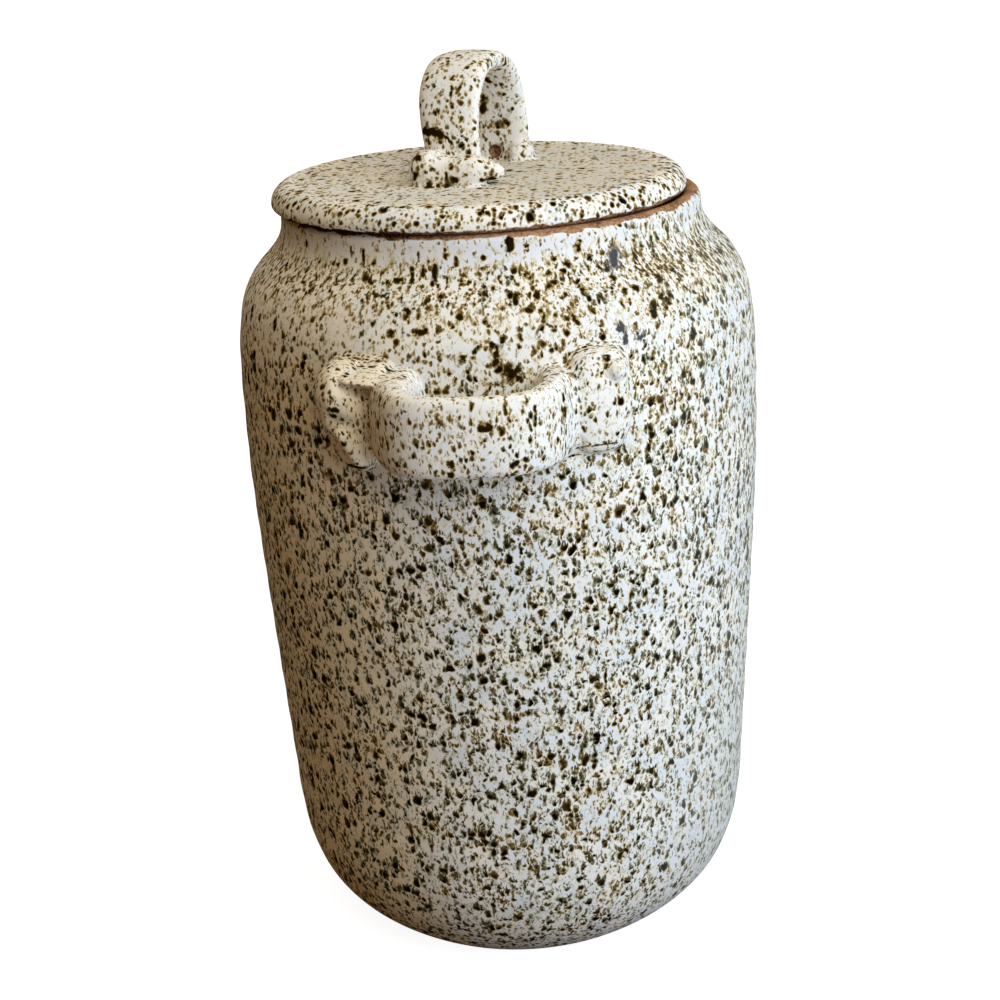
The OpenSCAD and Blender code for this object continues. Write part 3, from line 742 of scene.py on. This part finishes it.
def speck_darkness(tree, bent, dragged, crowd_push):
    """Dark cores of three sizes, and paler halos that are dragged up from them."""
    marks = add(tree, "ShaderNodeTexNoise", {"Vector": dragged, **FAINT_MARKS})
    darkness = add(tree, "ShaderNodeMapRange", {0: marks, 1: 0.55, 2: 0.80, 3: 0.0, 4: 0.4})
    for spacing, small, large, rare, soft, dark, bleed in SPECKS:
        for where, is_core in ((bent, True), (dragged, False)):
            cells = add(tree, "ShaderNodeTexVoronoi", {"Vector": where, "Scale": 1 / spacing}, feature="F1")
            lots = add(tree, "ShaderNodeSeparateXYZ", {0: cells.outputs["Color"]})
            lot = add(tree, "ShaderNodeMath", {0: lots.outputs["X"], 1: rare}, operation="POWER")
            reach = add(tree, "ShaderNodeMapRange", {0: lot, 3: small, 4: large})
            reach = add(tree, "ShaderNodeMath", {0: reach, 1: crowd_push}, operation="ADD")
            inside = add(tree, "ShaderNodeMath", {0: reach, 1: cells}, operation="SUBTRACT")
            if is_core:
                iron = add(tree, "ShaderNodeMapRange", {0: lots.outputs["Y"], 3: 0.74 * dark, 4: dark})
                edge = {1: -soft / 2, 2: soft / 2, 4: iron}
            else:
                edge = {1: -bleed, 2: 0.08, 4: 0.60 * dark}
            speck = add(tree, "ShaderNodeMapRange", {0: inside, **edge}, interpolation_type="SMOOTHSTEP")
            darkness = add(tree, "ShaderNodeMath", {0: darkness, 1: speck}, operation="MAXIMUM")
    return darkness


def drip_darkness(tree, in_mm, height):
    """Under the rim the glaze ran in long drips."""
    drips = add(tree, "ShaderNodeMapping", {0: in_mm, "Scale": DRIP_SQUEEZE})
    drips = add(tree, "ShaderNodeTexNoise", {"Vector": drips, "Scale": 1.0, "Detail": 2.0})
    drips = add(tree, "ShaderNodeMapRange", {0: drips, 1: 0.50, 2: 0.68, 3: 0.0, 4: 0.8})
    begin = add(tree, "ShaderNodeMapRange", {0: height, 1: 254.0, 2: 246.0})
    end = add(tree, "ShaderNodeMapRange", {0: height, 1: 230.0, 2: 240.0})
    drips = add(tree, "ShaderNodeMath", {0: drips, 1: begin}, operation="MULTIPLY")
    return add(tree, "ShaderNodeMath", {0: drips, 1: end}, operation="MULTIPLY")


def blot_darkness(tree, in_mm, stain_and_painted_shadow):
    """The large blots, and the handle's painted shadow line, with uneven edges."""
    uneven = add(tree, "ShaderNodeTexNoise", {"Vector": in_mm, **BLOT_EDGES})
    blot = add(tree, "ShaderNodeMath", {0: uneven, 1: 2.4, 2: stain_and_painted_shadow}, operation="MULTIPLY_ADD")
    blot = add(tree, "ShaderNodeMapRange", {0: blot, 1: 1.5, 2: 2.1})
    kept = add(tree, "ShaderNodeMapRange", {0: stain_and_painted_shadow, 1: 0.05, 2: 0.8, 3: 0.0, 4: 0.86})
    return add(tree, "ShaderNodeMath", {0: blot, 1: kept}, operation="MULTIPLY")


def clear_glaze_colour(tree, in_mm, drawn, thick_share, notes):
    """The glaze between the specks: white with cool and creamy clouds, milky where thick, with painted warm
    shade on one side and painted shade, cool as a sky reflection, on the lid's top.
    """
    clouds = add(tree, "ShaderNodeTexNoise", {"Vector": in_mm, **CLOUDS})
    small_clouds = add(tree, "ShaderNodeTexNoise", {"Vector": drawn, **SMALL_CLOUDS})
    cool = add(tree, "ShaderNodeMapRange", {0: clouds, 1: 0.4, 2: 0.62, 3: 0.0, 4: 0.9})
    warm = add(tree, "ShaderNodeMapRange", {0: small_clouds, 1: 0.48, 2: 0.7, 3: 0.0, 4: 0.6})
    milk = add(tree, "ShaderNodeMix", {0: notes["still"], 6: linear(THICK_GLAZE), 7: linear(MILKY_GLAZE)},
               data_type="RGBA")
    painted_shade_faint_specks = add(tree, "ShaderNodeMath", {0: notes["painted_shade_faint_specks"], 1: 0.5}, operation="MULTIPLY")
    colour = linear(WHITE_GLAZE)
    for share, layer in ((cool, linear(GREY_GLAZE)), (warm, linear(CREAM_GLAZE)), (thick_share, milk),
                         (notes["painted_warm_shade"], linear(PAINTED_WARM_SHADE_GLAZE)), (painted_shade_faint_specks, linear(PAINTED_TOP_SHADE_GLAZE))):
        colour = add(tree, "ShaderNodeMix", {0: share, 6: colour, 7: layer}, data_type="RGBA")
    return colour


def speck_colour(tree, in_mm, height, darkness, blue):
    """Grey-olive specks, golden in patches and more so towards the shoulder, and blue-grey over cobalt."""
    ramps = []
    for which in (1, 2):
        ramp = add(tree, "ShaderNodeValToRGB", {0: darkness})
        for stop in SPECK_TONES[:-2]:
            ramp.color_ramp.elements.new(stop[0])
        for element, stop in zip(ramp.color_ramp.elements, SPECK_TONES):
            element.position = stop[0]
            element.color = linear(stop[which])
        ramps.append(ramp)
    gold = add(tree, "ShaderNodeTexNoise", {"Vector": in_mm, **GOLD_PATCHES})
    upwards = add(tree, "ShaderNodeMapRange", {0: height, 1: 150.0, 2: 230.0, 3: 0.0, 4: 0.15})
    gold = add(tree, "ShaderNodeMath", {0: gold, 1: upwards}, operation="ADD")
    gold = add(tree, "ShaderNodeMapRange", {0: gold, 1: 0.48, 2: 0.66})
    specks = add(tree, "ShaderNodeMix", {0: gold, 6: ramps[0], 7: ramps[1]}, data_type="RGBA")
    return add(tree, "ShaderNodeMix", {0: blue, 6: specks, 7: linear(BLUE_SPECKS)}, data_type="RGBA")


def speckled_glaze():
    """White tin glaze, poured over iron-speckled stoneware and fired: satin, milky, with brown-black specks
    that bleed olive and ochre, and bare toasted clay where it was wiped off."""
    finish, tree = new_finish("speckled_white_glaze_on_stoneware")
    notes = {name: add(tree, "ShaderNodeAttribute", attribute_name=name).outputs["Fac"] for name in NOTES}
    in_mm = flowed_place(tree, place_in_mm(tree), notes["rise"])
    height = add(tree, "ShaderNodeSeparateXYZ", {0: in_mm}).outputs["Z"]
    drawn = add(tree, "ShaderNodeMapping", {0: in_mm, "Scale": SPECK_SQUEEZE})
    bent = bent_place(tree, drawn, notes["still"])
    dragged = dragged_place(tree, in_mm, bent, notes["still"])

    # Specks are fewer and smaller in thick glaze.
    crowd = add(tree, "ShaderNodeTexNoise", {"Vector": drawn, **CROWDS})
    crowd_push = add(tree, "ShaderNodeMapRange", {0: crowd, 1: 0.3, 2: 0.7, 3: -0.055, 4: 0.015})
    ragged = add(tree, "ShaderNodeMath", {0: crowd, 1: 0.9, 2: notes["thick"]}, operation="MULTIPLY_ADD")
    thick_share = add(tree, "ShaderNodeMapRange", {0: ragged, 1: 0.55, 2: 1.35})
    crowd_push = add(tree, "ShaderNodeMath", {0: thick_share, 1: -0.22, 2: crowd_push},
                     operation="MULTIPLY_ADD")

    darkness = speck_darkness(tree, bent, dragged, crowd_push)
    for other in (drip_darkness(tree, in_mm, height), blot_darkness(tree, in_mm, notes["stain_and_painted_shadow"])):
        darkness = add(tree, "ShaderNodeMath", {0: darkness, 1: other}, operation="MAXIMUM")
    # The specks fade on the lid's level top, under the mask of its painted shade
    faint = add(tree, "ShaderNodeMapRange", {0: notes["painted_shade_faint_specks"], 3: 1.0, 4: 0.68})
    darkness = add(tree, "ShaderNodeMath", {0: darkness, 1: faint}, operation="MULTIPLY")

    clear = clear_glaze_colour(tree, in_mm, drawn, thick_share, notes)
    specks = speck_colour(tree, in_mm, height, darkness, notes["blue"])
    shows = add(tree, "ShaderNodeMapRange", {0: darkness, 1: 0.0, 2: 0.16})
    colour = add(tree, "ShaderNodeMix", {0: shows, 6: clear, 7: specks}, data_type="RGBA")
    # Painted sheen: the glaze pales towards blue-grey on the windows' side
    painted_sheen = add(tree, "ShaderNodeMath", {0: notes["painted_sheen"], 1: 0.4}, operation="MULTIPLY")
    colour = add(tree, "ShaderNodeMix", {0: painted_sheen, 6: colour, 7: linear(PAINTED_SHEEN_GLAZE)}, data_type="RGBA")

    # Bare toasted clay, with an uneven edge
    ragged = add(tree, "ShaderNodeTexNoise", {"Vector": in_mm, **RAGGED_EDGE})
    bare_edge = add(tree, "ShaderNodeMath", {0: ragged, 1: 3.4, 2: notes["bare"]}, operation="MULTIPLY_ADD")
    bare_share = add(tree, "ShaderNodeMapRange", {0: bare_edge, 1: 1.55, 2: 1.95},
                     interpolation_type="SMOOTHSTEP")
    clay = grainy_clay(tree, in_mm)
    colour = add(tree, "ShaderNodeMix", {0: bare_share, 6: colour, 7: clay}, data_type="RGBA")

    rough = add(tree, "ShaderNodeMapRange", {0: bare_share, 3: 0.42, 4: 0.85})
    relief = add(tree, "ShaderNodeTexNoise", {"Vector": in_mm, **SOFT_RELIEF})
    bump = add(tree, "ShaderNodeBump", {"Strength": 0.35, "Distance": 0.4 * MM, "Height": relief})
    surface = add(tree, "ShaderNodeBsdfPrincipled", {"Base Color": colour, "Roughness": rough, "IOR": 1.5,
                                                     "Specular IOR Level": 0.0, "Normal": bump})
    add(tree, "ShaderNodeOutputMaterial", {"Surface": surface})
    return finish


def toasted_clay():
    """Bare iron stoneware, thrown and wiped with a wet sponge, toasted brown by the fire: dry and grainy."""
    finish, tree = new_finish("bare_toasted_stoneware")
    clay = grainy_clay(tree, place_in_mm(tree))
    bump = add(tree, "ShaderNodeBump", {"Strength": 0.5, "Distance": 0.3 * MM, "Height": clay})
    surface = add(tree, "ShaderNodeBsdfPrincipled", {"Base Color": clay, "Roughness": 0.88,
                                                     "Specular IOR Level": 0.2, "Normal": bump})
    add(tree, "ShaderNodeOutputMaterial", {"Surface": surface})
    return finish


glaze = speckled_glaze()
for piece in (jar, lid, front_handle, rear_handle, knob):
    piece.data.materials.append(glaze)
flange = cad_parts["lid_flange"]
flange.data.materials.clear()
flange.data.materials.append(toasted_clay())


# ---- floor, light and air ----

FLOOR_R = 9
FLOOR_SHADE, FLOOR_PALE, FLOOR_SEEN = "#6b5230", "#dfe6ea", "#9a9fa8"
SHADE_X, PALE_X = -0.05, 0.35        # the floor pales between these places across
FLOOR_GLOW = 0.92
LOW_AIR, HIGH_AIR = (0.125, 0.066, 0.019, 1), (1.12, 0.98, 0.75, 1)      # linear light
AIM = Vector((0, 0, 0.16))           # the lamps look at the jar's middle


def seen_white(tree, other, glow):
    """The glow for the camera and in reflections and glass, and the other shader for light on the jar."""
    path = add(tree, "ShaderNodeLightPath")
    seen = add(tree, "ShaderNodeMath", {0: path.outputs["Is Camera Ray"], 1: path.outputs["Is Glossy Ray"]},
               operation="MAXIMUM")
    seen = add(tree, "ShaderNodeMath", {0: seen, 1: path.outputs["Is Transmission Ray"]}, operation="MAXIMUM")
    return add(tree, "ShaderNodeMixShader", {0: seen, 1: other, 2: glow})


def pale_table():
    """A table that the camera sees as white with the jar's soft shadow. The light that it throws back is pale
    on the windows' side and brown, as from wood, on the other."""
    finish, tree = new_finish("pale_floor")
    place = add(tree, "ShaderNodeTexCoord")
    across = add(tree, "ShaderNodeSeparateXYZ", {0: place.outputs["Object"]})
    across = add(tree, "ShaderNodeMapRange", {0: across.outputs["X"], 1: SHADE_X, 2: PALE_X})
    paint = add(tree, "ShaderNodeMix", {0: across, 6: linear(FLOOR_SHADE), 7: linear(FLOOR_PALE)},
                data_type="RGBA")
    pale = add(tree, "ShaderNodeBsdfDiffuse", {"Color": paint})
    plain = add(tree, "ShaderNodeBsdfDiffuse", {"Color": linear(FLOOR_SEEN)})
    bright = add(tree, "ShaderNodeEmission", {"Color": (1, 1, 1, 1), "Strength": FLOOR_GLOW})
    both = add(tree, "ShaderNodeAddShader", {0: plain, 1: bright})
    add(tree, "ShaderNodeOutputMaterial", {"Surface": seen_white(tree, pale, both)})
    return finish


def room_air():
    """Warm brown low down and bright overhead, and white where it is seen."""
    air = bpy.data.worlds.new("room")
    air.use_nodes = True
    tree = air.node_tree
    tree.nodes.clear()
    direction = add(tree, "ShaderNodeTexCoord")
    up = add(tree, "ShaderNodeSeparateXYZ", {0: direction.outputs["Generated"]})
    height = add(tree, "ShaderNodeMapRange", {0: up.outputs["Z"], 1: 0.5, 2: 1.0})
    tone = add(tree, "ShaderNodeMix", {0: height, 6: LOW_AIR, 7: HIGH_AIR}, data_type="RGBA")
    dim = add(tree, "ShaderNodeBackground", {"Color": tone, "Strength": 1.0})
    white = add(tree, "ShaderNodeBackground", {"Color": (1, 1, 1, 1), "Strength": 1.0})
    add(tree, "ShaderNodeOutputWorld", {"Surface": seen_white(tree, dim, white)})
    return air


def window(name, turn, rise, distance, size, colour, power):
    """A soft square light, turned round the jar from its front towards the right."""
    lamp = bpy.data.lights.new(name, "AREA")
    lamp.shape = "SQUARE"
    lamp.size = size
    lamp.color = linear(colour)[:3]
    lamp.energy = power
    holder = bpy.data.objects.new(name, lamp)
    bpy.context.scene.collection.objects.link(holder)
    a, e = math.radians(turn), math.radians(rise)
    away = Vector((math.sin(a) * math.cos(e), -math.cos(a) * math.cos(e), math.sin(e)))
    holder.location = AIM + away * distance
    holder.rotation_mode = "QUATERNION"
    holder.rotation_quaternion = away.to_track_quat("Z", "Y")


bm = bmesh.new()
bmesh.ops.create_circle(bm, cap_ends=True, segments=96, radius=FLOOR_R)
mesh = bpy.data.meshes.new("floor")
bm.to_mesh(mesh)
bm.free()
mesh.materials.append(pale_table())
floor = bpy.data.objects.new("floor", mesh)
bpy.context.scene.collection.objects.link(floor)

bpy.context.scene.world = room_air()
# Turn and rise in degrees, distance and size in metres, colour and watts
window("side_window_light", 60, 27, 1.5, 0.7, "#cde5ff", 10.9)
window("front_window_light", 30, 36, 1.5, 0.8, "#fff8e2", 7.35)
window("low_window_light", 40, 4, 1.2, 0.4, "#cae0ff", 2.9)
